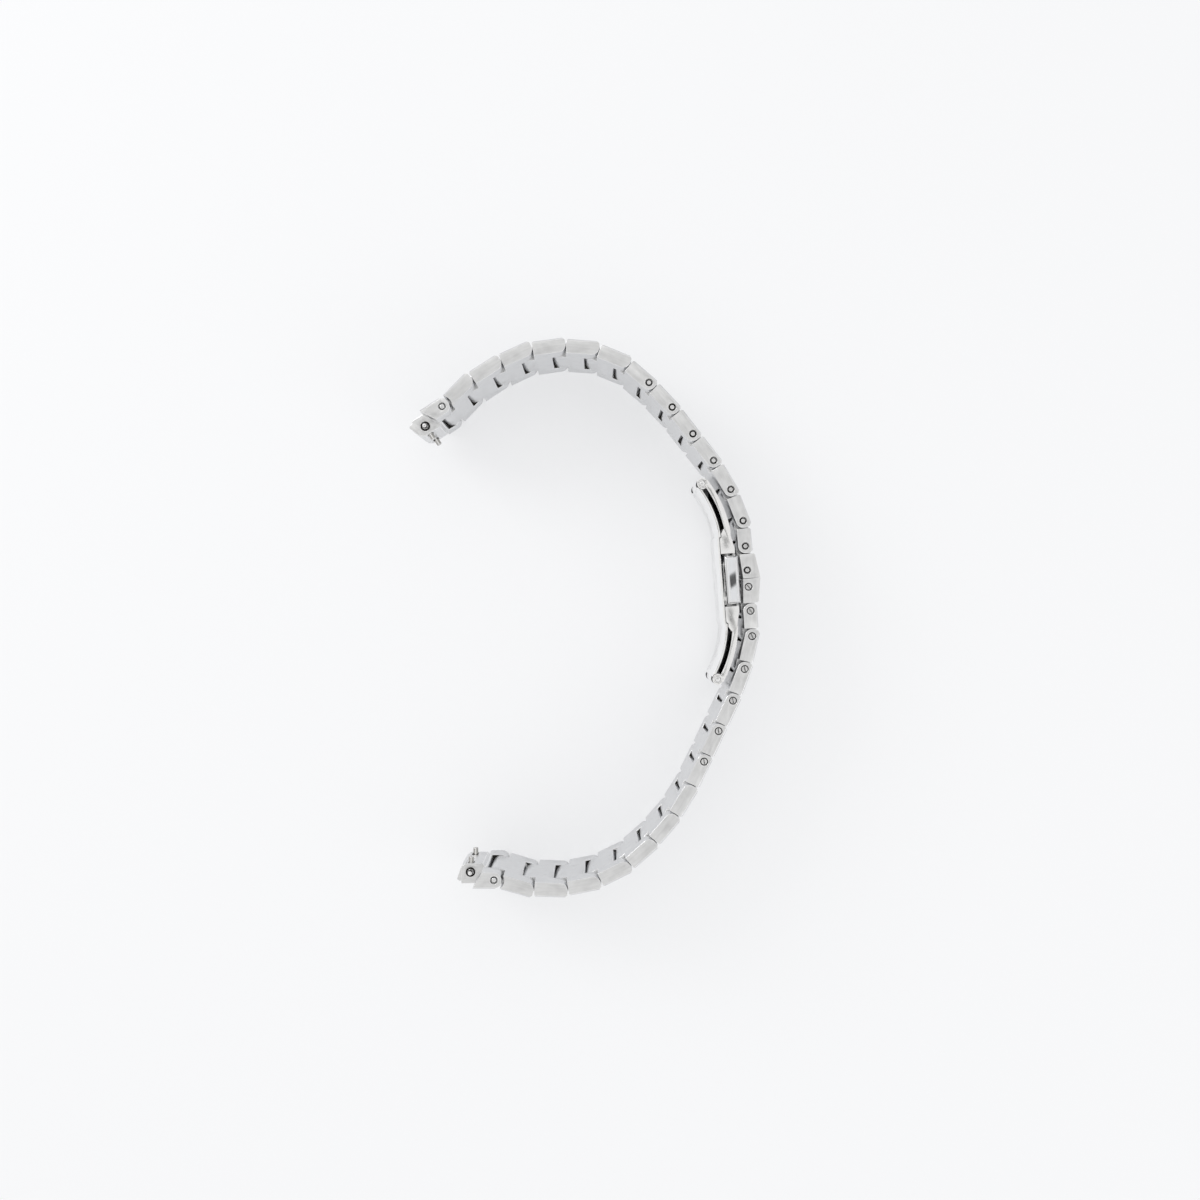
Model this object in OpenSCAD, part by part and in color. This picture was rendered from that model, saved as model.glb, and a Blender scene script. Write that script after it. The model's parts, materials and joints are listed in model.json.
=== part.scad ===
// Steel watch bracelet with a two-winged folding clasp.
// It stands on its edge as an open C: X and Y lie in the table, Z runs along the width,
// and every pin is parallel to Z. The origin is the middle of the footprint, on the table.
// Seen from above, the upper half runs from the clasp to the 12 o'clock end link and the
// lower half to the 6 o'clock end link. "near" is the side facing up, "far" faces the table.

/* [Band] */
// Width of the band at the case
case_w = 20; // [18:0.5:22]
// Width of the band at the clasp
clasp_w = 16; // [14.5:0.5:17]
// Thickness of a link
link_t = 2.45; // [2.3:0.05:2.6]
// Distance between the pins of a full link
link_pitch = 5.75; // [5.5:0.05:6]
// Distance between the pins of a half link
half_pitch = 4.35; // [4.2:0.05:4.6]
// Distance between the pins of a cover link
cover_pitch = 4.13; // [4:0.01:4.4]
// Width of the middle tongue at the case
tongue_case_w = 11.2; // [10.8:0.2:12]
// Width of the middle tongue at the clasp
tongue_clasp_w = 9; // [8.6:0.1:10]

/* [Link details] */
// Gap between a round link end and the flat end beside it
end_gap = 0.12; // [0.08:0.01:0.2]
// Gap between a round tongue tip and the web that it turns against
web_gap = 0.15; // [0.12:0.01:0.25]
// Gap at each side of a tongue
side_gap = 0.06; // [0.04:0.01:0.1]
// How far the outer corner of a round end is cut back along the link
corner_x = 0.42; // [0.35:0.01:0.5]
// How far the outer corner of a round end is cut down
corner_y = 0.47; // [0.4:0.01:0.55]
// Small bevel at the flat end and along the outer edges
edge_bevel = 0.22; // [0.1:0.02:0.3]

/* [Pins] */
// Diameter of a link pin
pin_d = 1; // [0.9:0.05:1.1]
// Clearance round a pin where it is held
pin_fit = 0.02; // [0.01:0.01:0.03]
// Clearance round a pin where the tongue turns on it
swing_fit = 0.05; // [0.03:0.01:0.08]
// Diameter of a screw head
head_d = 1.3; // [1.2:0.05:1.4]
// Height of a screw head
head_h = 0.5; // [0.4:0.05:0.7]
// How deep the heads lie below the side of the link
head_recess = 0.06; // [0.02:0.01:0.15]
// How deep the plain end of a pin lies in its recess
tail_recess = 0.1; // [0.05:0.01:0.15]
// Chamfer on the plain end of a pin
pin_chamfer = 0.15; // [0.1:0.01:0.2]
// Diameter of the recess round the plain end of a pin
recess_d = 1.3; // [1.2:0.05:1.35]
// Depth of the recess round the plain end of a pin
recess_h = 0.4; // [0.3:0.05:0.5]
// Width of the screwdriver slot
slot_w = 0.22; // [0.15:0.01:0.3]
// Depth of the screwdriver slot
slot_h = 0.2; // [0.1:0.05:0.3]
// Steel left over the ends of a closed-in pin
pin_cap = 0.6; // [0.4:0.1:1]

/* [Cover links] */
// Height of the outer face over the pin at the seam
cover_seam_y = 2.15; // [2:0.05:2.4]
// Height of the outer face over the pin at the half link
cover_end_y = 1.55; // [1.45:0.05:1.7]
// Depth of the inner face under the pin at the seam
cover_seam_in = 0.8; // [0.7:0.05:0.9]
// Gap between the two cover links at the seam
seam_gap = 0.08; // [0.04:0.01:0.15]
// Depth of the inner face under the pin at the half link
cover_end_in = 1.12; // [1:0.02:1.2]
// Room over the lug that turns inside a cover link
lug_room = 0.2; // [0.15:0.01:0.25]

/* [End links] */
// Radius of the end link round its pin
end_r = 1.3; // [1.25:0.01:1.35]
// Height of the outer face over the pin
end_out = 1.5; // [1.45:0.01:1.6]
// Length of the wide part on the outer face
end_len = 3.68; // [3.4:0.02:4]
// Length on the outer face up to the tip bevel
nose_len = 6.6; // [6.3:0.1:7]
// Width of the tongue that goes into the case
nose_w = 10.8; // [10.4:0.1:11]
// Depth of the inner face of that tongue under the pin
nose_in = 1.9; // [1.8:0.05:2]
// How much narrower the tip of that tongue is on each side
nose_step = 2; // [1:0.25:2.25]
// Distance of the spring bar from the pin, along the outer face
bar_x = 4.4; // [4.3:0.05:4.5]
// Depth of the spring bar under the pin
bar_y = 0.45; // [0.4:0.05:0.5]

/* [Spring bars] */
// Outer diameter of the barrel
barrel_d = 1.5; // [1.4:0.05:1.55]
// Wall of the barrel
barrel_wall = 0.18; // [0.16:0.01:0.19]
// Clearance of the barrel in its hole
barrel_fit = 0.05; // [0.03:0.01:0.08]
// Clearance of a plunger in the barrel
plunger_fit = 0.04; // [0.03:0.01:0.05]
// Diameter of the bar's tip
tip_d = 0.7; // [0.66:0.01:0.74]
// Length of the tip outside the end link
tip_len = 1.1; // [0.9:0.05:1.2]
// Diameter of the quick-release knob
knob_d = 0.9; // [0.8:0.02:0.92]
// Distance of a knob from the side of the case tongue
knob_in = 1.2; // [1.15:0.05:1.3]
// Length of a knob outside the inner face
knob_out = 1; // [0.6:0.1:1.4]

/* [Clasp] */
// Turn of the clasp in the table plane, in degrees
clasp_tilt = 4.5; // [0:0.5:8]
// Width of the base plate and the wings
plate_w = 14.4; // [14:0.1:14.8]
// Distance of a wing's hinge from the middle of the clasp
hinge_v = 16.87; // [16.6:0.01:17.2]
// Radius of the clasp's bend, at the hinges
bend_r = 19; // [18:0.5:20]
// Distance of the bend's centre from the middle of the clasp
bend_v = 6.3; // [6.1:0.1:6.5]
// Height of a cover link's pin over the line of the hinges
cover_pin_u = 6.4; // [6.35:0.05:6.5]
// Distance of a cover link's pin from the middle of the clasp
cover_pin_v = 1.42; // [1.38:0.01:1.5]
// Thickness of the base plate
base_t = 0.35; // [0.3:0.05:0.45]
// Height of the base plate's outer face in the middle of the clasp
base_u = 2.12; // [2.05:0.01:2.15]
// Thickness of a wing
wing_t = 1; // [0.9:0.05:1.05]
// Gap between the base plate and a wing, from the hinge to the wing's block
wing_gap = 0.8; // [0.7:0.05:0.85]
// Diameter of the hinge knuckles
knuckle_d = 1.9; // [1.8:0.05:2]
// Diameter of the hinge pins
hinge_pin_d = 0.9; // [0.8:0.05:1]
// Width of the middle knuckle
knuckle_w = 8.8; // [8:0.2:10]
// Gap between knuckles, and between the plates where they meet
plate_gap = 0.08; // [0.06:0.01:0.1]
// Width of a wing's lug
lug_w = 8; // [7.6:0.1:8.2]
// Diameter of a wing's lug
lug_d = 1.9; // [1.8:0.05:2]
// Thickness of the plate between a wing's block and its lug
lug_plate_t = 0.5; // [0.4:0.05:0.55]

/* [Latch] */
// Half the length of the latch housing
housing_v = 4.2; // [4.1:0.02:4.24]
// Height of the housing's outer face
housing_u = 4.4; // [4.3:0.02:4.42]
// Thickness of the housing's thin walls
housing_wall = 0.4; // [0.3:0.02:0.44]
// Length of a push button along the band
button_len = 8.1; // [7.8:0.1:8.3]
// Height of a push button
button_h = 2.3; // [2.2:0.05:2.4]
// Distance of a button's face from the middle of the width
button_z = 8; // [7.95:0.01:8.1]
// Thickness of a button's head
button_t = 1.6; // [1.4:0.05:1.62]
// Travel of a button
button_travel = 0.8; // [0.75:0.01:0.9]
// Clearance of the sliders
slide_gap = 0.1; // [0.06:0.01:0.12]

/* [Hidden] */

$fn = 48;
STEEL = "lightsteelblue";
BRIGHT = "whitesmoke";
DARK = "slategray";
UP = 1;
DOWN = -1;

// The C in which the band lies: bend of each joint towards the wrist, in degrees,
// from the half link's pin to the end link's pin
upper_bends = [1, 16, 9.5, 7, 0, 5.5, 6, 18.5, 18, 12, 17, 8, 13, -13];
lower_bends = [1, 16.5, 7.5, 5, 0, 0.5, 6, 9, 8, 15, 15, 13, 14, -16];

// Stations count from the cover link (0) and the half link (1) to the end link
END = len(upper_bends);
LAST = END - 1;
mid_z = case_w / 2;
half_t = link_t / 2;
pin_r = pin_d / 2;
// Where the solid middle of a link starts, and where its sides end before the next pin
web_x = half_t + web_gap;
end_room = half_t + end_gap;
over = 1;
slot_turn = 35;
// Outer corner over the round end of an end link, and the room that it needs to turn outwards
end_back_x = 0.87 * end_r;
end_back_y = 0.7 * end_r;
end_flat_x = 0.1;
end_swing_r = norm([end_flat_x, end_out]) + 2 * end_gap;
// Outer corner at the tip of the tongue that goes into the case
nose_bevel_x = 0.4;
nose_bevel_y = 0.35;
nose_tip_x = nose_len + nose_bevel_x;
nose_tip_y = end_out - nose_bevel_y;

function bends(s) = s > 0 ? upper_bends : lower_bends;
function sum_to(list, n) = n <= 0 ? 0 : list[n - 1] + sum_to(list, n - 1);
function unit(a) = [cos(a), sin(a)];
function pitch(j) = j == 0 ? cover_pitch : j == 1 ? half_pitch : link_pitch;
function width_at(j) = clasp_w + (case_w - clasp_w) * j / END;
function tongue_at(j) = tongue_clasp_w + (tongue_case_w - tongue_clasp_w) * j / END;
function heading(s, j) = clasp_tilt + s * (90 + sum_to(bends(s), j));
function clasp_point(u, v) = u * unit(clasp_tilt) + v * unit(clasp_tilt + 90);
function pin_at(s, j) = j == 0 ? clasp_point(cover_pin_u, s * cover_pin_v)
    : pin_at(s, j - 1) + pitch(j - 1) * unit(heading(s, j - 1));
function on_link(s, j, p) = pin_at(s, j) + p[0] * unit(heading(s, j))
    + p[1] * unit(heading(s, j) - s * 90);

// Corners that can be the outermost points of the C, for the middle of the footprint
function corners(j) = j == END
    ? [[-end_back_x, end_back_y], [0, end_out], [nose_len, end_out], [nose_tip_x, nose_tip_y]]
    : [[corner_x - half_t, half_t], [pitch(j) - end_room, half_t]];
rim = [for (s = [UP, DOWN], j = [0 : END], p = corners(j)) on_link(s, j, p)];
rim_x = [for (p = rim) p[0]];
rim_y = [for (p = rim) p[1]];
shift = -[min(rim_x) + max(rim_x), min(rim_y) + max(rim_y)] / 2;

// End link: the tip of its tongue, and the slant of the wide part's wrist side
nose_back = 0.9;
nose_bevel = 0.8;
step_back = 1;
end_slant = 1.6;
slant_x = end_len - end_slant;
slant_out = 0.2;
slant_in = 0.3;
bar_r = barrel_d / 2;
bore_r = bar_r - barrel_wall;
plunger_r = bore_r - plunger_fit;
tip_r = tip_d / 2;
knob_r = knob_d / 2;
barrel_in = 0.3;
knob_gap = 0.05;
// Half the barrel's length, and the place of a knob when its plunger is out
bar_half = nose_w / 2 - barrel_in;
knob_z = nose_w / 2 - knob_in;
// A plunger runs from behind its knob to its shoulder at the side of the tongue
plunger_behind = 0.25;
plunger_from = knob_z - knob_r - plunger_behind;
bar_wire = 0.1;
bar_turns = 7;

// Clasp: u is the height over the line of the hinges, v runs along the band
bend_u = -sqrt(bend_r * bend_r - (hinge_v - bend_v) * (hinge_v - bend_v));
hinge_a = asin((hinge_v - bend_v) / bend_r);
base_drop = 0.75;
base_out = bend_r - base_drop;
wing_in = base_out + wing_gap;
fine_fn = 180;
wing_out = wing_in + wing_t;
knuckle_r = knuckle_d / 2;
hinge_pin_r = hinge_pin_d / 2;
lug_r = lug_d / 2;
plate_u = housing_u + 0.1;
plate_top = plate_u + lug_plate_t;
block_v = housing_v + 0.35;
block_end = 7.2;
block_u = plate_u + 0.1;
block_slope_v = 0.9;
rest_v = 8;
// The base plate's flat middle ends and its bend starts here
fall_v = 7.5;
fall_lap = 0.1;
fall_in = 0.6;
flat_out = 0.15;
flat_in = 0.4;
// Steps of the wing's end over its rest on the base plate
rest_u = bend_u + base_out + plate_gap;
rest_slope = 0.25;
rest_drop = 0.05;
rest_back = 0.8;
rest_lo = 0.4;
rest_mid = 1.4;
rest_hi = 1.65;
// The plate over the housing: its root in the block, and its foot under the lug
root_in = 0.1;
root_len = 1.2;
root_depth = 0.6;
foot_v = cover_pin_v + 0.33;
foot_len = 1;
lug_neck = 0.2;

// Latch: w runs along the width from the middle of the clasp
floor_u = base_u + 0.58;
roof_u = housing_u - housing_wall;
slider_u = [floor_u + slide_gap, roof_u - slide_gap];
stem_v = 1.9;
head_v = 3.2;
head_w = [1, 2];
catch_w = [head_w[1] + slide_gap, head_w[1] + 0.9];
catch_v = 2.5;
catch_u = [floor_u + 0.2, roof_u - 0.1];
post_w = [2.3, 2.7];
post_v = 0.5;
slot_in = post_w[0] - slide_gap;
button_in = button_z - button_t;
button_u = 3.85;
// The housing ends where a pressed button's head stops, and the spring's slot in the stem there
housing_z = button_in - button_travel - slide_gap;
housing_end_t = 0.6;
slot_out = button_in - housing_end_t;
catch_room = 0.3;
head_bevel = edge_bevel + 0.1;
latch_wire = 0.11;
latch_turns = 5;

// Frames

module placed(s, j) {
    at = pin_at(s, j) + shift;
    translate([at[0], at[1], mid_z]) rotate([0, 0, heading(s, j)])
        rotate([s > 0 ? 180 : 0, 0, 0]) children();
}

module in_clasp(s = UP) {
    translate([shift[0], shift[1], mid_z]) rotate([0, 0, clasp_tilt])
        rotate([s > 0 ? 0 : 180, 0, 0]) children();
}

module slab(w) {
    linear_extrude(w, center = true) children();
}

module block(lo, hi) {
    translate(lo) cube(hi - lo);
}

// Links

// A leg seen along its pin: round on the wrist side, bevelled on the outer side
module leg_outline(x_end) {
    circle(r = half_t);
    polygon([
        [0, -half_t], [x_end, -half_t], [x_end, half_t - edge_bevel], [x_end - edge_bevel, half_t],
        [corner_x - half_t, half_t], [-half_t, half_t - corner_y], [-half_t, 0], [0, 0]
    ]);
}

// The tongue seen along the pins, from the web at x to the next pin at p
module tongue_outline(x, p) {
    translate([p, 0]) circle(r = half_t);
    polygon([
        [x, -half_t], [p, -half_t], [p, 0], [p + half_t, 0], [p + half_t, half_t - corner_y],
        [p + half_t - corner_x, half_t], [x, half_t]
    ]);
}

// What the tapering sides and their outer bevels leave of link j, whose outer face is at y_out
module taper(j, y_out) {
    w = width_at(j) / 2;
    slope = (width_at(min(j + 1, END)) - width_at(j)) / 2 / pitch(j);
    reach = 3 * link_pitch;
    b = edge_bevel * sqrt(2);
    difference() {
        rotate([90, 0, 0]) linear_extrude(reach, center = true) polygon([
            [-reach, w - reach * slope], [reach, w + reach * slope],
            [reach, -w - reach * slope], [-reach, reach * slope - w]
        ]);
        for (k = [-1, 1]) translate([0, y_out, k * w]) rotate([0, -k * atan(slope), 0])
            rotate([45, 0, 0]) cube([2 * reach, b, b], center = true);
    }
}

// The gap between the legs in which the tongue before it turns
module tongue_slot(w, x) {
    reach = 3 * link_t;
    translate([x - reach / 2, 0, 0]) cube([reach, reach, w], center = true);
}

// Recess round a pin's plain end in the side of a link
module recess(w) {
    translate([0, 0, -w / 2 - over]) cylinder(h = recess_h + over, r = recess_d / 2);
}

// A plain pin between two heights, with a chamfer at its low end
module pin(lo, hi) {
    translate([0, 0, lo]) {
        cylinder(h = pin_chamfer, r1 = pin_r - pin_chamfer, r2 = pin_r);
        translate([0, 0, pin_chamfer]) cylinder(h = hi - lo - pin_chamfer, r = pin_r);
    }
}

// Holes of a link for the pin at its own end
module pin_hole(w, screwed) {
    r = pin_r + pin_fit;
    if (screwed) {
        cylinder(h = w + 2 * over, r = r, center = true);
        recess(w);
        translate([0, 0, w / 2 - head_recess - head_h])
            cylinder(h = over + head_h, r = head_d / 2 + pin_fit);
    } else cylinder(h = w - 2 * pin_cap, r = r, center = true);
}

module tongue_hole() {
    cylinder(h = case_w, r = pin_r + swing_fit, center = true);
}

module link_body(j, screwed) {
    p = pitch(j);
    difference() {
        intersection() {
            union() {
                slab(case_w + over) difference() {
                    leg_outline(p - end_room);
                    if (j == LAST) translate([p, 0]) circle(r = end_swing_r);
                }
                slab(tongue_at(j + 1) - 2 * side_gap) tongue_outline(web_x, p);
            }
            taper(j, half_t);
        }
        tongue_slot(tongue_at(j), web_x);
        pin_hole(width_at(j), screwed);
        translate([p, 0, 0]) tongue_hole();
    }
}

module screw(w) {
    top = w / 2 - head_recess;
    difference() {
        union() {
            pin(tail_recess - w / 2, top - head_h / 2);
            translate([0, 0, top - head_h]) cylinder(h = head_h, r = head_d / 2);
        }
        translate([0, 0, top]) rotate([0, 0, slot_turn])
            cube([2 * head_d, slot_w, 2 * slot_h], center = true);
    }
}

module closed_pin(w) {
    cylinder(h = w - 2 * pin_cap - 2 * pin_fit, r = pin_r, center = true);
}

module link_node(s, n, screwed) {
    j = END - n;
    color(STEEL) placed(s, j) {
        link_body(j, screwed);
        if (!screwed) closed_pin(width_at(j));
    }
}

module half_node(s) {
    color(STEEL) placed(s, 1) link_body(1, true);
}

module screw_node(s, j) {
    color(BRIGHT) placed(s, j) screw(width_at(j));
}

// Cover links

module cover_outline() {
    seam_x = seam_gap / 2 - cover_pin_v;
    x_end = cover_pitch - end_room;
    polygon([
        [seam_x, -cover_seam_in], [x_end, -cover_end_in], [x_end, cover_end_y - edge_bevel],
        [x_end - edge_bevel, cover_end_y], [seam_x, cover_seam_y]
    ]);
}

module cover_node(s) {
    color(STEEL) placed(s, 0) difference() {
        intersection() {
            union() {
                slab(case_w) cover_outline();
                slab(tongue_at(1) - 2 * side_gap)
                    tongue_outline(cover_pitch - end_room - over, cover_pitch);
            }
            taper(0, cover_seam_y + over);
        }
        // Room for the lug of the wing, open to the wrist
        block([-link_t, -link_t, -lug_w / 2 - side_gap],
            [lug_r + web_gap, lug_r + lug_room, lug_w / 2 + side_gap]);
        pin_hole(width_at(0), true);
        translate([cover_pitch, 0, 0]) tongue_hole();
    }
}

// End links

module end_outline() {
    circle(r = end_r);
    polygon([
        [0, -end_r], [slant_x, -end_r], [end_len, end_out], [-end_flat_x, end_out],
        [-end_back_x, end_back_y], [-end_r, 0], [0, 0]
    ]);
}

module nose_outline() {
    polygon([
        [web_x + web_gap, end_out], [nose_len, end_out], [nose_tip_x, nose_tip_y],
        [nose_tip_x - nose_back, -end_r], [nose_tip_x - nose_back - nose_bevel, -nose_in],
        [slant_x + slant_out, -nose_in], [slant_x - slant_in, -end_r],
        [web_x + web_gap, -end_r]
    ]);
}

module end_node(s) {
    step_x = nose_tip_x - step_back;
    color(STEEL) placed(s, END) {
        difference() {
            intersection() {
                union() {
                    slab(case_w + over) end_outline();
                    slab(nose_w) nose_outline();
                }
                taper(END, end_out);
            }
            tongue_slot(tongue_at(END), web_x + web_gap);
            for (k = [-1, 1]) translate([step_x + link_pitch / 2, 0, k * nose_w / 2])
                cube([link_pitch, 2 * link_pitch, 2 * nose_step], center = true);
            cylinder(h = case_w + 2 * over, r = pin_r + pin_fit, center = true);
            for (k = [0, 180]) rotate([k, 0, 0]) recess(case_w);
            translate([bar_x, -bar_y, 0]) {
                cylinder(h = case_w, r = bar_r + barrel_fit, center = true);
                for (k = [-1, 1]) knob_slot(k, 2 * knob_gap, nose_in + over);
            }
        }
        for (k = [0, 180]) rotate([k, 0, 0]) pin(tail_recess - case_w / 2, over);
    }
}

// Slot for a knob's travel on side k, with room at each side
module knob_slot(k, room, depth) {
    r = knob_r + room;
    lo = knob_z - tip_len - r;
    translate([-r, -depth, k > 0 ? lo : -knob_z - r]) cube([2 * r, depth, tip_len + 2 * r]);
}

// Spring bars, seen from the end link's pin

module in_bar(s) {
    placed(s, END) translate([bar_x, -bar_y, 0]) children();
}

module coil(r, wire, length, turns) {
    steps = 8 * turns;
    sides = 6;
    rise = (length - 2 * wire) / steps;
    rings = [for (i = [0 : steps], k = [0 : sides - 1])
        let (a = 45 * i, c = 360 * k / sides, q = r + wire * cos(c))
        [q * cos(a), q * sin(a), wire + rise * i + wire * sin(c)]];
    walls = [for (i = [0 : steps - 1], k = [0 : sides - 1])
        let (a = i * sides + k, b = i * sides + (k + 1) % sides)
        each [[a, b, b + sides], [a, b + sides, a + sides]]];
    first = [for (k = [1 : sides - 2]) [0, k + 1, k]];
    top = steps * sides;
    last = [for (k = [1 : sides - 2]) [top, top + k, top + k + 1]];
    polyhedron(points = rings, faces = concat(walls, first, last));
}

module barrel() {
    difference() {
        cylinder(h = 2 * bar_half, r = bar_r, center = true);
        cylinder(h = 2 * bar_half + over, r = bore_r, center = true);
        for (k = [-1, 1]) knob_slot(k, knob_gap, bar_r + over);
    }
}

module bar_node(s) {
    color(STEEL) in_bar(s) {
        barrel();
        // The spring, at its length between plungers that are pushed right in
        length = 2 * (plunger_from - tip_len - 3 * plunger_fit);
        translate([0, 0, -length / 2]) coil(plunger_r - 1.1 * bar_wire, bar_wire, length, bar_turns);
    }
}

// k is +1 for the plunger whose tip points along the bar's own axis
module plunger(k) {
    mirror([0, 0, k > 0 ? 0 : 1]) {
        translate([0, 0, plunger_from]) cylinder(h = nose_w / 2 - plunger_from, r = plunger_r);
        translate([0, 0, knob_z]) cylinder(h = nose_w / 2 - knob_z + tip_len, r = tip_r);
        translate([0, 0, knob_z]) rotate([90, 0, 0]) cylinder(h = nose_in - bar_y + knob_out, r = knob_r);
    }
}

module plunger_node(s, k) {
    color(BRIGHT) in_bar(s) plunger(k);
}

// Clasp

// A strip bent round the centre of the clasp's bend, between two angles
module bent_strip(r0, r1, a0, a1) {
    far = 1.2 * r1;
    translate([bend_u, bend_v]) intersection() {
        difference() {
            circle(r = r1, $fn = fine_fn);
            circle(r = r0, $fn = fine_fn);
        }
        polygon([[0, 0], far * unit(a0), far * unit(a1)]);
    }
}

module at_hinge() {
    translate([0, hinge_v, 0]) children();
}

module base_outline() {
    a0 = asin((fall_v - bend_v) / base_out);
    bent_strip(base_out - base_t, base_out, a0, hinge_a);
    polygon([
        [base_u - base_t, 0], [base_u, 0], [base_u, block_end + flat_out],
        [bend_u + base_out, fall_v + fall_lap], [bend_u + base_out - base_t, fall_v + fall_in],
        [base_u - base_t, fall_v - flat_in]
    ]);
}

module clasp_base() {
    color(BRIGHT) for (s = [UP, DOWN]) in_clasp(s) difference() {
        union() {
            slab(plate_w) base_outline();
            at_hinge() cylinder(h = knuckle_w, r = knuckle_r, center = true);
        }
        // Room for the wing's knuckles, and the hole of the hinge pin
        for (k = [-1, 1]) at_hinge() translate([0, 0, k * (knuckle_w + case_w) / 2])
            cylinder(h = case_w, r = knuckle_r + plate_gap, center = true);
        at_hinge() cylinder(h = case_w, r = hinge_pin_r + pin_fit, center = true);
    }
}

module wing_hinge_pins() {
    color(STEEL) for (s = [UP, DOWN]) in_clasp(s) at_hinge()
        cylinder(h = plate_w - plate_gap, r = hinge_pin_r, center = true);
}

// The block at the wing's free end rests on the base plate
module wing_block_outline() {
    polygon([
        [base_u + plate_gap, block_v], [base_u + plate_gap, block_end],
        [rest_u, block_end + rest_slope], [rest_u - rest_drop, rest_v],
        [rest_u + rest_lo, rest_v + rest_back], [rest_u + rest_mid, rest_v + rest_back],
        [rest_u + rest_hi, block_end], [block_u, block_v + block_slope_v], [block_u, block_v]
    ]);
}

// The plate over the housing and the lug round the cover link's pin
module lug_outline() {
    neck_v = cover_pin_v + lug_r;
    translate([cover_pin_u, cover_pin_v]) circle(r = lug_r);
    polygon([
        [plate_u - root_depth, block_v + root_in], [plate_u - root_depth, block_v + root_len],
        [plate_u, block_v + root_len], [plate_top, block_v + root_len / 2],
        [plate_top, foot_v + foot_len], [plate_top + lug_neck, neck_v], [cover_pin_u, neck_v],
        [cover_pin_u, cover_pin_v], [cover_pin_u - lug_r, cover_pin_v], [plate_u, foot_v],
        [plate_u, block_v + root_in]
    ]);
}

module wing_node(s) {
    a0 = asin((rest_v - bend_v) / wing_in);
    knuckle_len = (plate_w - knuckle_w) / 2 - plate_gap;
    color(BRIGHT) in_clasp(s) difference() {
        union() {
            slab(plate_w) {
                bent_strip(wing_in, wing_out, a0, hinge_a);
                wing_block_outline();
            }
            slab(lug_w) lug_outline();
            for (k = [-1, 1]) at_hinge() translate([0, 0, k * (plate_w - knuckle_len) / 2])
                cylinder(h = knuckle_len, r = knuckle_r, center = true);
            for (k = [-1, 1]) mirror([0, 0, k > 0 ? 0 : 1])
                block([catch_u[0], catch_v, catch_w[0]], [catch_u[1], block_v + root_in, catch_w[1]]);
        }
        // Room for the middle knuckle, and the holes
        at_hinge() cylinder(h = knuckle_w + 2 * plate_gap, r = knuckle_r + plate_gap, center = true);
        at_hinge() cylinder(h = case_w, r = hinge_pin_r + swing_fit, center = true);
        translate([cover_pin_u, cover_pin_v, 0]) tongue_hole();
    }
}

// Latch

module latch_housing() {
    wall_v = housing_v - 2 * housing_wall;
    wall_z = housing_z - housing_end_t;
    color(BRIGHT) in_clasp() {
        difference() {
            block([base_u, -housing_v, -housing_z], [housing_u, housing_v, housing_z]);
            block([floor_u, -wall_v, -wall_z], [roof_u, wall_v, wall_z]);
            for (k = [-1, 1]) mirror([0, 0, k > 0 ? 0 : 1]) {
                // Window for the button's stem
                block([slider_u[0] - slide_gap / 2, -stem_v - slide_gap, wall_z - over],
                    [slider_u[1] + slide_gap / 2, stem_v + slide_gap, housing_z + over]);
                // Slots in which the wings' catches drop
                for (m = [-1, 1]) mirror([0, m > 0 ? 0 : 1, 0])
                    block([catch_u[0] - slide_gap, catch_v - catch_room, catch_w[0] - slide_gap],
                        [housing_u + over, housing_v + over, catch_w[1] + slide_gap]);
            }
        }
        // Posts that the springs push against
        for (k = [-1, 1]) mirror([0, 0, k > 0 ? 0 : 1])
            block([floor_u - housing_wall, -post_v, post_w[0]],
                [roof_u + housing_wall / 2, post_v, post_w[1]]);
    }
}

module button_head() {
    b = head_bevel * sqrt(2);
    translate([button_u, 0, button_z - button_t / 2]) difference() {
        cube([button_h, button_len, button_t], center = true);
        for (k = [-1, 1]) {
            translate([k * button_h / 2, 0, button_t / 2]) rotate([0, 45, 0])
                cube([b, 2 * button_len, b], center = true);
            translate([0, k * button_len / 2, button_t / 2]) rotate([45, 0, 0])
                cube([2 * button_h, b, b], center = true);
        }
    }
}

// s is UP for the button on the near side
module button_node(s) {
    color(BRIGHT) in_clasp(s) {
        difference() {
            union() {
                button_head();
                block([slider_u[0], -stem_v, head_w[0]], [slider_u[1], stem_v, button_in + over / 2]);
                block([slider_u[0], -head_v, head_w[0]], [slider_u[1], head_v, head_w[1]]);
            }
            block([base_u, -post_v - slide_gap, slot_in],
                [housing_u, post_v + slide_gap, slot_out]);
        }
    }
}

module latch_spring_node(s) {
    mid_u = (slider_u[0] + slider_u[1]) / 2;
    color(DARK) in_clasp(s) translate([mid_u, 0, post_w[1]])
        coil(post_v - latch_wire, latch_wire, slot_out - post_w[1], latch_turns);
}

link_node(UP, 1, false);  // upper_link_01
link_node(UP, 2, false);  // upper_link_02
link_node(UP, 3, false);  // upper_link_03
link_node(UP, 4, false);  // upper_link_04
link_node(UP, 5, false);  // upper_link_05
link_node(UP, 6, false);  // upper_link_06
link_node(UP, 7, true);  // upper_link_07
link_node(UP, 8, true);  // upper_link_08
link_node(UP, 9, true);  // upper_link_09
link_node(UP, 10, true);  // upper_link_10
link_node(UP, 11, true);  // upper_link_11
link_node(UP, 12, true);  // upper_link_12
link_node(DOWN, 1, false);  // lower_link_01
link_node(DOWN, 2, false);  // lower_link_02
link_node(DOWN, 3, false);  // lower_link_03
link_node(DOWN, 4, false);  // lower_link_04
link_node(DOWN, 5, false);  // lower_link_05
link_node(DOWN, 6, false);  // lower_link_06
link_node(DOWN, 7, false);  // lower_link_07
link_node(DOWN, 8, true);  // lower_link_08
link_node(DOWN, 9, true);  // lower_link_09
link_node(DOWN, 10, true);  // lower_link_10
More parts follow.
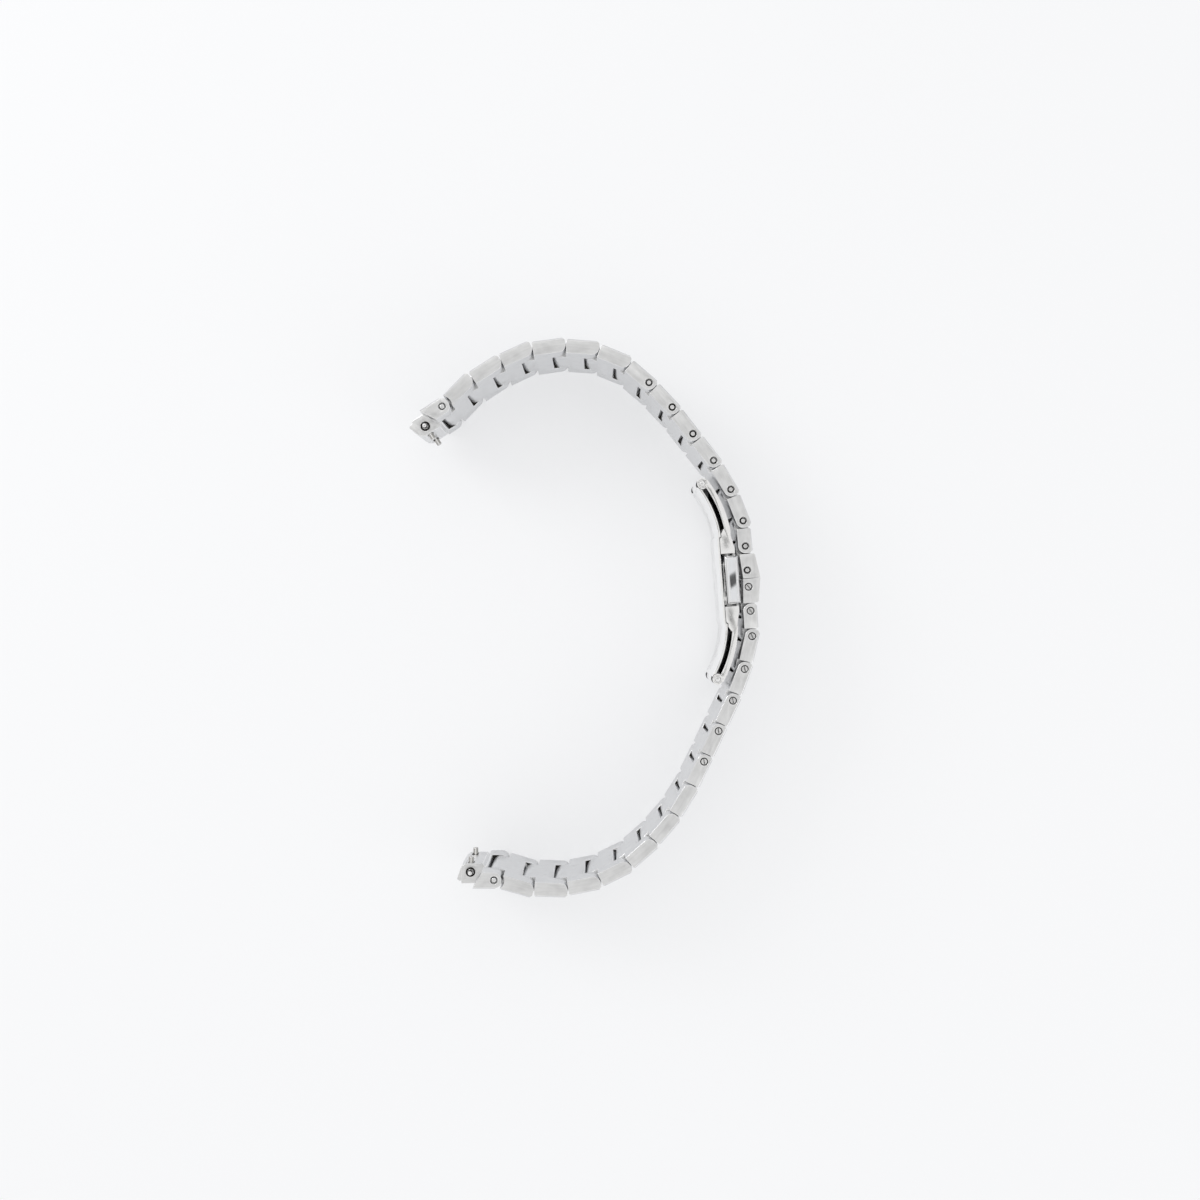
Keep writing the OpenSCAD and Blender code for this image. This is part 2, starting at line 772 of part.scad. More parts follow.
link_node(DOWN, 11, true);  // lower_link_11
link_node(DOWN, 12, true);  // lower_link_12
half_node(UP);  // upper_half_link
half_node(DOWN);  // lower_half_link
cover_node(UP);  // upper_cover_link
cover_node(DOWN);  // lower_cover_link
end_node(UP);  // upper_end_link
end_node(DOWN);  // lower_end_link
bar_node(UP);  // upper_spring_bar
bar_node(DOWN);  // lower_spring_bar
plunger_node(UP, -1);  // upper_plunger_near
plunger_node(UP, 1);  // upper_plunger_far
plunger_node(DOWN, 1);  // lower_plunger_near
plunger_node(DOWN, -1);  // lower_plunger_far
clasp_base();
latch_housing();
wing_node(UP);  // upper_wing
wing_node(DOWN);  // lower_wing
wing_hinge_pins();
button_node(UP);  // push_button_near
button_node(DOWN);  // push_button_far
latch_spring_node(UP);  // latch_spring_near
latch_spring_node(DOWN);  // latch_spring_far
screw_node(UP, END - 7);  // upper_screw_07
screw_node(UP, END - 8);  // upper_screw_08
screw_node(UP, END - 9);  // upper_screw_09
screw_node(UP, END - 10);  // upper_screw_10
screw_node(UP, END - 11);  // upper_screw_11
screw_node(UP, END - 12);  // upper_screw_12
screw_node(UP, 1);  // upper_half_screw
screw_node(UP, 0);  // upper_cover_screw
screw_node(DOWN, END - 8);  // lower_screw_08
screw_node(DOWN, END - 9);  // lower_screw_09
screw_node(DOWN, END - 10);  // lower_screw_10
screw_node(DOWN, END - 11);  // lower_screw_11
screw_node(DOWN, END - 12);  // lower_screw_12
screw_node(DOWN, 1);  // lower_half_screw
screw_node(DOWN, 0);  // lower_cover_screw
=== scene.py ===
"""Dresses a steel watch bracelet: links, screws, end links, spring bars and folding clasp.

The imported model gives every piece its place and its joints. Each class below finishes one
sub-assembly of the bracelet: it takes the solid of each piece, breaks its edges, lays the
direction of the brushing on it and gives it its steel. Screws and springs are made anew.
All lengths of the model are in metres; sizes in this file are in millimetres.
"""
import json
import logging
import math
from dataclasses import dataclass, field
from enum import Enum
from typing import Any

import bmesh
import bpy
from mathutils import Matrix, Vector


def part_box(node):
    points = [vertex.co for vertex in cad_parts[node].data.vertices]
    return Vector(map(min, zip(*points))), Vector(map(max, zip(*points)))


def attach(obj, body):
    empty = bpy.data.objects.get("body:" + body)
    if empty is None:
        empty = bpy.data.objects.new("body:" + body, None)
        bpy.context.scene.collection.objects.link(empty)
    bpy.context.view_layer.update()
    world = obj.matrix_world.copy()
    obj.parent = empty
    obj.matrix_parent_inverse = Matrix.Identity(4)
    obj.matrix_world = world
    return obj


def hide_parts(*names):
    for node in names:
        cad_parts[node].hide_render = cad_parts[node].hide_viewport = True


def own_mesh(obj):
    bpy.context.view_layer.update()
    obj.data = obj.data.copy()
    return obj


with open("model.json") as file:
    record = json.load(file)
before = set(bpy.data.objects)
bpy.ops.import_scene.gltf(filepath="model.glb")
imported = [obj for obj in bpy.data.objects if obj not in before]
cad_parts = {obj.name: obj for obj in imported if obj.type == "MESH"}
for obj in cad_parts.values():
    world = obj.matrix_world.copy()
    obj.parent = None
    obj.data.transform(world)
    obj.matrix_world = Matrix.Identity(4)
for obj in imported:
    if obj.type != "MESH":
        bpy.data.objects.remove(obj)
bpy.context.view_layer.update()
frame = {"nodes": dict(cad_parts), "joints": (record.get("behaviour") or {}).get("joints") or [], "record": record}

MM = 0.001
GRAIN = "grain"
BATCH = "batch"
ZONE = "zone"
# How far a face looks along a direction: square on above the first, steep above the second
# and a wall below the third.
SQUARE_ON = 0.97
STEEP = 0.75
WALL = 0.5
# Points closer than the first, in metres, are one, and so are heights closer than the second,
# in millimetres.
MERGE = 1e-7
LEVEL = 0.01
# A noise's scale, detail and roughness.
Noise = tuple[Any, float, float]
LOG = logging.getLogger("bracelet")


class TreeKit:
    """Adds nodes to one tree, shader or geometry, and links them by socket name."""

    def __init__(self, tree: bpy.types.NodeTree) -> None:
        """Keeps the tree."""
        self.tree = tree

    def node(self, kind: str, **values: Any) -> bpy.types.Node:
        """Adds a node.

        Args:
            kind: the node's type name.
            **values: properties of the node to set.

        Returns:
            The new node.
        """
        made = self.tree.nodes.new(kind)
        for key, value in values.items():
            setattr(made, key, value)
        return made

    def feed(self, node: bpy.types.Node, **values: Any) -> bpy.types.Node:
        """Sets or links inputs of a node.

        Args:
            node: the node whose inputs are meant.
            **values: input name with underscores for spaces, or i and a number for the
                input's place, with a plain value or a socket to link.

        Returns:
            The same node.
        """
        for key, value in values.items():
            numbered = key[0] == "i" and key[1:].isdigit()
            socket = node.inputs[int(key[1:])] if numbered else node.inputs[key.replace("_", " ")]
            if isinstance(value, bpy.types.NodeSocket):
                self.tree.links.new(value, socket)
            else:
                socket.default_value = value
        return node

    def math(self, operation: str, a: Any, b: Any = 0.0, c: Any = 0.0) -> bpy.types.NodeSocket:
        """Adds a shader Math node.

        Args:
            operation: the node's operation.
            a: first value or socket.
            b: second value or socket.
            c: third value or socket.

        Returns:
            The result's socket.
        """
        made = self.node("ShaderNodeMath", operation=operation)
        return self.feed(made, i0=a, i1=b, i2=c).outputs[0]

    def vector_math(self, operation: str, a: Any, b: Any = (0.0, 0.0, 0.0)) -> bpy.types.Node:
        """Adds a Vector Math node and returns it."""
        made = self.node("ShaderNodeVectorMath", operation=operation)
        return self.feed(made, i0=a, i1=b)

    def split(self, vector: bpy.types.NodeSocket) -> Any:
        """Adds a Separate XYZ node and returns its outputs."""
        return self.feed(self.node("ShaderNodeSeparateXYZ"), Vector=vector).outputs

    def join(self, x: Any = 0.0, y: Any = 0.0, z: Any = 0.0) -> bpy.types.NodeSocket:
        """Adds a Combine XYZ node and returns its vector."""
        return self.feed(self.node("ShaderNodeCombineXYZ"), X=x, Y=y, Z=z).outputs[0]

    def ease(self, value: Any, start: float, end: float, low: float = 0.0,
             high: float = 1.0) -> bpy.types.NodeSocket:
        """Adds a smooth step.

        Args:
            value: the value that sets it off.
            start: the value at which it starts.
            end: the value at which it ends.
            low: what it gives before the start.
            high: what it gives after the end.

        Returns:
            The step's socket.
        """
        made = self.node("ShaderNodeMapRange", interpolation_type="SMOOTHSTEP")
        return self.feed(made, Value=value, From_Min=start, From_Max=end, To_Min=low,
                         To_Max=high).outputs[0]

    def noise(self, place: bpy.types.NodeSocket, kind: Noise,
              batch: Any = None) -> bpy.types.NodeSocket:
        """Adds a noise.

        Args:
            place: where it is looked up.
            kind: its settings; the scale may be a socket.
            batch: what tells one piece's noise from another's, or None.

        Returns:
            The noise's socket.
        """
        made = self.node("ShaderNodeTexNoise", noise_dimensions="3D" if batch is None else "4D")
        self.feed(made, Vector=place, Scale=kind[0], Detail=kind[1], Roughness=kind[2])
        if batch is not None:
            self.feed(made, W=batch)
        return made.outputs["Fac"]

    def socket(self, name: str, way: str, kind: str, default: Any = None) -> None:
        """Adds a socket to the tree's own interface.

        Args:
            name: the socket's name.
            way: INPUT or OUTPUT.
            kind: the socket's type name.
            default: its default value, where it has one.
        """
        made = self.tree.interface.new_socket(name=name, in_out=way, socket_type=kind)
        if default is not None:
            made.default_value = default


@dataclass
class ShaderGroups:
    """The effects that several steels share, each built once as a node group."""

    line_layers: tuple[tuple[float, float, float], ...] = ((1.0, 0.5, 0.3), (0.12, 0.25, 0.34))
    line_noise: Noise = (1.0, 2.0, 0.6)
    line_batch: float = 7.31
    cloud_share: float = 0.36
    cloud_noise: Noise = (0.75, 3.0, 0.55)
    ring_noise: Noise = (1.6, 2.0, 0.5)
    ring_batch: float = 3.7
    ring_middle: tuple[float, float] = (0.05, 0.13)
    dome_shift: float = -0.39
    dome_length: float = 0.62
    dome_smudge: Noise = (0.6, 3.0, 0.5)
    hairline_turns: tuple[float, ...] = (0.4, 1.3, 2.3)
    hairline_stretch: tuple[float, float, float] = (0.25, 9.0, 9.0)
    hairline_level: tuple[float, float] = (0.66, 0.8)
    smudge: Noise = (0.45, 4.0, 0.5)
    built: dict[str, bpy.types.NodeTree] = field(default_factory=dict)

    def place(self, kit: TreeKit, name: str, **values: Any) -> bpy.types.Node:
        """Places a group in a material.

        Args:
            kit: the material's tree.
            name: brushing, turning, doming or handling.
            **values: inputs of the group.

        Returns:
            The group node.
        """
        if name not in self.built:
            self.built[name] = getattr(self, "_" + name)()
        made = kit.node("ShaderNodeGroup", node_tree=self.built[name])
        return kit.feed(made, **values)

    @staticmethod
    def _start(name: str) -> tuple[TreeKit, bpy.types.Node, bpy.types.Node]:
        """Starts a group with Place, Batch and Fineness inputs, Value and Height outputs.

        Args:
            name: the group's name.

        Returns:
            The tree's kit, its input node and its output node.
        """
        kit = TreeKit(bpy.data.node_groups.new(name, "ShaderNodeTree"))
        kit.socket("Place", "INPUT", "NodeSocketVector")
        kit.socket("Batch", "INPUT", "NodeSocketFloat", 0.0)
        kit.socket("Fineness", "INPUT", "NodeSocketFloat", 10.0)
        kit.socket("Value", "OUTPUT", "NodeSocketFloat")
        kit.socket("Height", "OUTPUT", "NodeSocketFloat")
        return kit, kit.node("NodeGroupInput"), kit.node("NodeGroupOutput")

    def _brushing(self) -> bpy.types.NodeTree:
        """Fine parallel lines along x of the grain, with streaks and clouds where the belt bit.

        Returns:
            The group's tree.
        """
        kit, given, out = self._start("brushing")
        batch = kit.math("MULTIPLY", given.outputs["Batch"], self.line_batch)
        layers = []
        for scale, run, share in self.line_layers:
            fine = kit.math("MULTIPLY", given.outputs["Fineness"], scale)
            place = kit.vector_math("MULTIPLY", given.outputs["Place"], kit.join(run, fine, fine))
            layers.append((kit.noise(place.outputs[0], self.line_noise, batch), share))
        layers.append((kit.noise(given.outputs["Place"], self.cloud_noise, batch),
                       self.cloud_share))
        total = 0.0
        for value, share in layers:
            total = kit.math("MULTIPLY_ADD", value, share, total)
        kit.feed(out, Value=total, Height=layers[0][0])
        return kit.tree

    def _turning(self) -> bpy.types.NodeTree:
        """Rings round the pin's axis, as a lathe leaves them on a screw's head.

        Returns:
            The group's tree.
        """
        kit, given, out = self._start("turning")
        batch = kit.math("MULTIPLY", given.outputs["Batch"], self.ring_batch)
        flat = kit.vector_math("MULTIPLY", given.outputs["Place"], (1.0, 1.0, 0.0))
        length = kit.vector_math("LENGTH", flat.outputs[0]).outputs["Value"]
        along = kit.split(given.outputs["Place"])["Z"]
        line = kit.join(kit.math("MULTIPLY", length, given.outputs["Fineness"]),
                        kit.math("MULTIPLY", along, given.outputs["Fineness"]))
        above = kit.math("SUBTRACT", kit.noise(line, self.ring_noise, batch), 0.5)
        mark = kit.math("MULTIPLY_ADD", above, kit.ease(length, *self.ring_middle), 0.5)
        kit.feed(out, Value=mark, Height=mark)
        return kit.tree

    def _doming(self) -> bpy.types.NodeTree:
        """The slight dome of a pressed panel, which bends what it mirrors.

        Returns:
            The group's tree.
        """
        kit, given, out = self._start("doming")
        parts = kit.split(given.outputs["Place"])
        along = kit.math("MULTIPLY", kit.math("MULTIPLY", parts["X"], parts["X"]),
                         self.dome_length)
        beside = kit.math("ADD", parts["Y"], self.dome_shift)
        sag = kit.math("MULTIPLY_ADD", beside, beside, along)
        smudge = kit.noise(given.outputs["Place"], self.dome_smudge, given.outputs["Batch"])
        kit.feed(out, Value=smudge, Height=kit.math("MULTIPLY", sag, -1.0))
        return kit.tree

    def _handling(self) -> bpy.types.NodeTree:
        """Hairlines in all directions and faint smudges, as polished steel gathers.

        Returns:
            The group's tree.
        """
        kit, given, out = self._start("handling")
        wear = None
        for turn in self.hairline_turns:
            spin = kit.node("ShaderNodeVectorRotate", rotation_type="Z_AXIS")
            kit.feed(spin, Vector=given.outputs["Place"], Angle=turn)
            thin = kit.vector_math("MULTIPLY", spin.outputs[0], self.hairline_stretch)
            hair = kit.noise(thin.outputs[0], (given.outputs["Fineness"], 1.0, 0.5),
                             given.outputs["Batch"])
            line = kit.ease(hair, *self.hairline_level)
            wear = line if wear is None else kit.math("MAXIMUM", wear, line)
        kit.feed(out, Value=kit.noise(given.outputs["Place"], self.smudge), Height=wear)
        return kit.tree


GROUPS = ShaderGroups()
MARK_RANGE = (0.25, 0.75)


class Working(Enum):
    """How a steel surface was worked last."""

    BRUSHED = "brushing"
    TURNED = "turning"
    POLISHED = "handling"
    DOMED = "doming"


@dataclass(frozen=True)
class Steel:
    """One finish of steel: its grey, how rough it is, and the marks of its working.

    Relief is the depth of its marks in millimetres, and glance is how bright it is where it
    is seen almost edge-on.
    """

    name: str
    working: Working
    grey: tuple[float, float, float]
    contrast: float
    roughness: float
    spread: float
    bump: float
    fineness: float
    relief: float = 0.02
    glance: float = 1.0

    def material(self) -> bpy.types.Material:
        """Builds the finish's material, or finds it.

        Returns:
            The material.
        """
        known = bpy.data.materials.get(self.name)
        if known is not None:
            return known
        made = bpy.data.materials.new(self.name)
        made.use_nodes = True
        made.node_tree.nodes.clear()
        kit = TreeKit(made.node_tree)
        place = kit.node("ShaderNodeAttribute", attribute_name=GRAIN)
        batch = kit.node("ShaderNodeAttribute", attribute_name=BATCH)
        marks = GROUPS.place(kit, self.working.value, Place=place.outputs["Vector"],
                             Batch=batch.outputs["Fac"], Fineness=self.fineness)
        dark = tuple(c * (1.0 - self.contrast) for c in self.grey) + (1.0,)
        bright = tuple(min(1.0, c * (1.0 + self.contrast)) for c in self.grey) + (1.0,)
        tone = kit.node("ShaderNodeMix", data_type="RGBA")
        kit.feed(tone, i0=marks.outputs["Value"], i6=dark, i7=bright)
        rough = kit.node("ShaderNodeMapRange")
        kit.feed(rough, Value=marks.outputs["Value"], From_Min=MARK_RANGE[0],
                 From_Max=MARK_RANGE[1], To_Min=self.roughness - self.spread,
                 To_Max=self.roughness + self.spread)
        lines = kit.node("ShaderNodeBump")
        kit.feed(lines, Strength=self.bump, Distance=self.relief * MM,
                 Height=marks.outputs["Height"])
        shader = kit.node("ShaderNodeBsdfPrincipled")
        kit.feed(shader, Base_Color=tone.outputs[2], Metallic=1.0, Roughness=rough.outputs[0],
                 Normal=lines.outputs[0],
                 Specular_Tint=(self.glance, self.glance, self.glance, 1.0))
        out = kit.node("ShaderNodeOutputMaterial")
        kit.feed(out, Surface=shader.outputs[0])
        return made


BRUSHED = Steel("brushed_side_steel", Working.BRUSHED, (0.73, 0.73, 0.727), 0.36, 0.4, 0.07,
                0.35, 24.0)
SATIN = Steel("satin_face_steel", Working.BRUSHED, (0.68, 0.685, 0.695), 0.24, 0.3, 0.06,
              0.25, 30.0)
# Broken edges: smoother, as rubbed steel is, and a lighter grey than the faces, which paints a highlight along
# every edge.
EDGE = Steel("rubbed_edge_highlight_steel", Working.BRUSHED, (0.93, 0.93, 0.93), 0.05, 0.16, 0.03, 0.1, 20.0)
# Near-black steel on the links' pin recesses, the end link's bar bore and the walls of its knob channel: painted
# shade for deep, narrow openings, kept dark edge-on by a low glance.
BORE = Steel("painted_shade_bore_steel", Working.TURNED, (0.035, 0.033, 0.03), 0.3, 0.45, 0.08, 0.3, 6.0,
             glance=0.15)
POLISHED = Steel("polished_clasp_steel", Working.POLISHED, (0.93, 0.93, 0.93), 0.04, 0.06, 0.03,
                 0.1, 3.0)
LUSTRE = Steel("buffed_clasp_steel", Working.POLISHED, (0.88, 0.875, 0.865), 0.08, 0.24, 0.05,
               0.1, 3.0)
PANEL = Steel("button_panel_steel", Working.DOMED, (0.8, 0.81, 0.83), 0.08, 0.1, 0.02, 1.0, 3.0,
              relief=0.058)
# Near-black steel on the faces inside the gap between the clasp's base plate and wings: painted shade, kept dark
# edge-on by a low glance.
SHADED = Steel("shaded_clasp_steel", Working.POLISHED, (0.05, 0.055, 0.06), 0.04, 0.3, 0.05,
               0.1, 3.0, glance=0.12)
TURNED = Steel("turned_pin_steel", Working.TURNED, (0.9, 0.895, 0.885), 0.14, 0.24, 0.05,
               0.3, 7.0)
# Near-black steel on screw slots and chamfers, the spring bar's barrel ends and the plungers' shanks: painted
# shade in slots and rings, kept dark edge-on by a low glance.
GROOVE = Steel("painted_shade_groove_steel", Working.TURNED, (0.05, 0.047, 0.043), 0.3, 0.4, 0.05, 0.2, 6.0,
               glance=0.15)
BAR = Steel("drawn_bar_steel", Working.TURNED, (0.46, 0.45, 0.43), 0.7, 0.12, 0.04, 0.3, 5.0)
WIRE = Steel("spring_wire_steel", Working.TURNED, (0.42, 0.42, 0.44), 0.1, 0.3, 0.04, 0.2, 6.0)


@dataclass(frozen=True)
class Stand:
    """Where a piece stands: its own origin and the directions of its grain."""

    origin: Vector
    along: Vector
    across: Vector
    scale: float = 1.0 / MM

    @property
    def depth(self) -> Vector:
        """The third direction, along the pins."""
        return self.along.cross(self.across)

    @property
    def matrix(self) -> Matrix:
        """From the piece's own millimetres to the frame's metres."""
        turn = Matrix((self.along, self.across, self.depth)).transposed().to_4x4()
        return Matrix.Translation(self.origin) @ turn @ Matrix.Scale(MM, 4)


# The bore steel paints shade on bores, channels, gaps and slots.
STEELS = ("Face Steel", "Side Steel", "Bore Steel", "Edge Steel")
WORKBENCH = Stand(Vector((0.0, 0.0, 0.0)), Vector((1.0, 0.0, 0.0)), Vector((0.0, 1.0, 0.0)), 1.0)


@dataclass
class Trees:
    """The geometry trees of the bracelet, each built once."""

    screw_facets: int = 48
    screw_overlap: float = 0.3
    # Share of a screw head's radius, and the tilt of its chamfers, that take painted shade.
    slot_share: float = 0.8
    chamfer_facing: tuple[float, float] = (0.7, 0.15)
    channel_share: float = 0.8
    coil_steps: int = 20
    wire_facets: int = 10
    built: dict[str, bpy.types.NodeTree] = field(default_factory=dict)

    def get(self, name: str) -> bpy.types.NodeTree:
        """Finds or builds a tree.

        Args:
            name: steel_piece, slotted_screw or coil_spring.

        Returns:
            The tree.
        """
        if name not in self.built:
            kit = TreeKit(bpy.data.node_groups.new(name, "GeometryNodeTree"))
            kit.socket("Geometry", "INPUT", "NodeSocketGeometry")
            for key in ("Origin", "Along", "Across"):
                kit.socket(key, "INPUT", "NodeSocketVector")
            kit.socket("Grain Scale", "INPUT", "NodeSocketFloat", 1.0)
            kit.socket("Batch", "INPUT", "NodeSocketFloat", 0.0)
            for key in STEELS:
                kit.socket(key, "INPUT", "NodeSocketMaterial")
            getattr(self, "_" + name)(kit)
            self.built[name] = kit.tree
        return self.built[name]

    @staticmethod
    def _grain(kit: TreeKit, given: bpy.types.Node) -> bpy.types.NodeSocket:
        """Adds the place along, across and through the piece, in millimetres.

        Args:
            kit: the tree's kit.
            given: the tree's input node.

        Returns:
            The place's socket.
        """
        away = kit.vector_math("SUBTRACT", kit.node("GeometryNodeInputPosition").outputs[0],
                               given.outputs["Origin"])
        depth = kit.vector_math("CROSS_PRODUCT", given.outputs["Along"], given.outputs["Across"])
        parts = []
        for way in (given.outputs["Along"], given.outputs["Across"], depth.outputs[0]):
            part = kit.vector_math("DOT_PRODUCT", away.outputs[0], way).outputs["Value"]
            parts.append(kit.math("MULTIPLY", part, given.outputs["Grain Scale"]))
        return kit.join(*parts)

    @staticmethod
    def _facing(kit: TreeKit, given: bpy.types.Node, way: str) -> bpy.types.NodeSocket:
        """Adds how far faces look along one of the stand's directions, from -1 to 1.

        Args:
            kit: the tree's kit.
            given: the tree's input node.
            way: Across, or Depth for the direction of the pins.

        Returns:
            The number's socket.
        """
        if way == "Depth":
            target = kit.vector_math("CROSS_PRODUCT", given.outputs["Along"],
                                     given.outputs["Across"]).outputs[0]
        else:
            target = given.outputs[way]
        normal = kit.node("GeometryNodeInputNormal").outputs[0]
        return kit.vector_math("DOT_PRODUCT", normal, target).outputs["Value"]

    @staticmethod
    def _finish(kit: TreeKit, given: bpy.types.Node, shape: bpy.types.NodeSocket,
                bore: Any = 0.0, edge: Any = 0.0) -> None:
        """Ends a tree: lays the grain, and gives faces, sides, bores and edges their steels.

        Args:
            kit: the tree's kit.
            given: the tree's input node.
            shape: the geometry so far.
            bore: one on faces that take the bore's steel, painted shade.
            edge: one on faces that take the edge's steel.
        """
        store = kit.node("GeometryNodeStoreNamedAttribute", data_type="FLOAT_VECTOR",
                         domain="POINT")
        kit.feed(store, Geometry=shape, Name=GRAIN, Value=Trees._grain(kit, given))
        mark = kit.node("GeometryNodeStoreNamedAttribute", data_type="FLOAT", domain="POINT")
        kit.feed(mark, Geometry=store.outputs[0], Name=BATCH, Value=given.outputs["Batch"])
        side = kit.math("GREATER_THAN",
                        kit.math("ABSOLUTE", Trees._facing(kit, given, "Depth")), SQUARE_ON)
        number = kit.math("MAXIMUM", side, kit.math("MAXIMUM", kit.math("MULTIPLY", bore, 2.0),
                                                    kit.math("MULTIPLY", edge, 3.0)))
        zones = kit.node("GeometryNodeStoreNamedAttribute", data_type="FLOAT", domain="FACE")
        kit.feed(zones, Geometry=mark.outputs[0], Name=ZONE, Value=number)
        last = kit.feed(kit.node("GeometryNodeRealizeInstances"), Geometry=zones.outputs[0])
        zone = kit.feed(kit.node("GeometryNodeInputNamedAttribute", data_type="FLOAT"), Name=ZONE)
        for place, steel in enumerate(STEELS):
            chosen = kit.math("COMPARE", zone.outputs["Attribute"], float(place), 0.1)
            last = kit.feed(kit.node("GeometryNodeSetMaterial"), Geometry=last.outputs[0],
                            Selection=chosen, Material=given.outputs[steel])
        kit.feed(kit.node("NodeGroupOutput"), i0=last.outputs[0])

    @staticmethod
    def _within(kit: TreeKit, x: Any, y: Any, radius: Any) -> bpy.types.NodeSocket:
        """Adds one inside a radius round an axis, else nought, and returns its socket."""
        square = kit.math("MULTIPLY_ADD", x, x, kit.math("MULTIPLY", y, y))
        return kit.math("LESS_THAN", kit.math("SQRT", square), radius)

    def _steel_piece(self, kit: TreeKit) -> None:
        """Builds the tree of a solid as it comes, with its grain and painted shade on its bores, knob channel and
        gap faces.

        Args:
            kit: the tree's kit.
        """
        for key in ("Pin Bore Radius", "Bar Bore X", "Bar Bore Y", "Bar Bore Radius",
                    "Open Face", "Gap Shade Way"):
            kit.socket(key, "INPUT", "NodeSocketFloat", 0.0)
        kit.socket("Geometry", "OUTPUT", "NodeSocketGeometry")
        given = kit.node("NodeGroupInput")
        spot = kit.split(self._grain(kit, given))
        # Pin recesses and the bar's bore, found by their radius round the axes, take painted shade.
        pin = self._within(kit, spot["X"], spot["Y"], given.outputs["Pin Bore Radius"])
        bar = self._within(kit, kit.math("SUBTRACT", spot["X"], given.outputs["Bar Bore X"]),
                           kit.math("SUBTRACT", spot["Y"], given.outputs["Bar Bore Y"]),
                           given.outputs["Bar Bore Radius"])
        tilt = kit.math("ABSOLUTE", self._facing(kit, given, "Depth"))
        wall = kit.math("LESS_THAN", tilt, WALL)
        floor = kit.math("MULTIPLY", kit.math("GREATER_THAN", tilt, SQUARE_ON),
                         kit.math("LESS_THAN", kit.math("ABSOLUTE", spot["Z"]),
                                  given.outputs["Open Face"]))
        recess = kit.math("MULTIPLY", kit.math("MAXIMUM", wall, floor), pin)
        round_bore = kit.math("MAXIMUM", recess, kit.math("MULTIPLY", wall, bar))
        # Faces looking the given way across the clasp, inside the gap between base plate and wings, take painted
        # shade.
        outward = self._facing(kit, given, "Across")
        gap_shade = kit.math("GREATER_THAN", kit.math("MULTIPLY", outward,
                                                   given.outputs["Gap Shade Way"]), STEEP)
        turned = kit.math("MAXIMUM", tilt, kit.math("ABSOLUTE", outward))
        channel = self._channel(kit, given, spot, turned)
        edge = kit.math("GREATER_THAN", kit.node("GeometryNodeInputMaterialIndex").outputs[0], 0.5)
        # All these faces but the broken edges take the bore steel: painted shade.
        dark = kit.math("MULTIPLY", kit.math("MAXIMUM", kit.math("MAXIMUM", round_bore, gap_shade),
                                             channel), kit.math("SUBTRACT", 1.0, edge))
        self._finish(kit, given, given.outputs["Geometry"], dark, edge)

    def _channel(self, kit: TreeKit, given: bpy.types.Node, spot: Any,
                 turned: bpy.types.NodeSocket) -> bpy.types.NodeSocket:
        """Adds one on the side walls of the channel in which a spring bar's knob slides, which take painted shade.

        Args:
            kit: the tree's kit.
            given: the tree's input node.
            spot: the place along, across and through the piece.
            turned: how far the face looks along the pins or outward.

        Returns:
            The number's socket.
        """
        beside = kit.math("ABSOLUTE", kit.math("SUBTRACT", spot["X"], given.outputs["Bar Bore X"]))
        near = kit.math("LESS_THAN", beside, kit.math("MULTIPLY", given.outputs["Bar Bore Radius"],
                                                      self.channel_share))
        below = kit.math("LESS_THAN", spot["Y"], given.outputs["Bar Bore Y"])
        wall = kit.math("LESS_THAN", turned, WALL)
        deep = kit.math("LESS_THAN", kit.math("ABSOLUTE", spot["Z"]), given.outputs["Open Face"])
        return kit.math("MULTIPLY", kit.math("MULTIPLY", near, below),
                        kit.math("MULTIPLY", wall, deep))

    def _slotted_screw(self, kit: TreeKit) -> None:
        """Builds the tree of a headed screw made from its sizes, with a slot across the head and painted shade in
        the slot and on the chamfers.

        Args:
            kit: the tree's kit.
        """
        for key in ("Tail", "Top", "Shaft Radius", "Chamfer", "Head Radius", "Head Height",
                    "Rim", "Slot Width", "Slot Depth", "Slot Turn"):
            kit.socket(key, "INPUT", "NodeSocketFloat", 0.0)
        kit.socket("Geometry", "OUTPUT", "NodeSocketGeometry")
        given = kit.node("NodeGroupInput")
        size = given.outputs

        def rod(low: Any, high: Any, foot: Any, top: Any) -> bpy.types.NodeSocket:
            """Adds a rod.

            Args:
                low: the height of its foot.
                high: the height of its top.
                foot: its radius at the foot.
                top: its radius at the top.

            Returns:
                The rod's socket.
            """
            made = kit.feed(kit.node("GeometryNodeMeshCone"), Vertices=self.screw_facets,
                            Radius_Top=top, Radius_Bottom=foot,
                            Depth=kit.math("SUBTRACT", high, low))
            return kit.feed(kit.node("GeometryNodeTransform"), Geometry=made.outputs["Mesh"],
                            Translation=kit.join(z=low)).outputs[0]

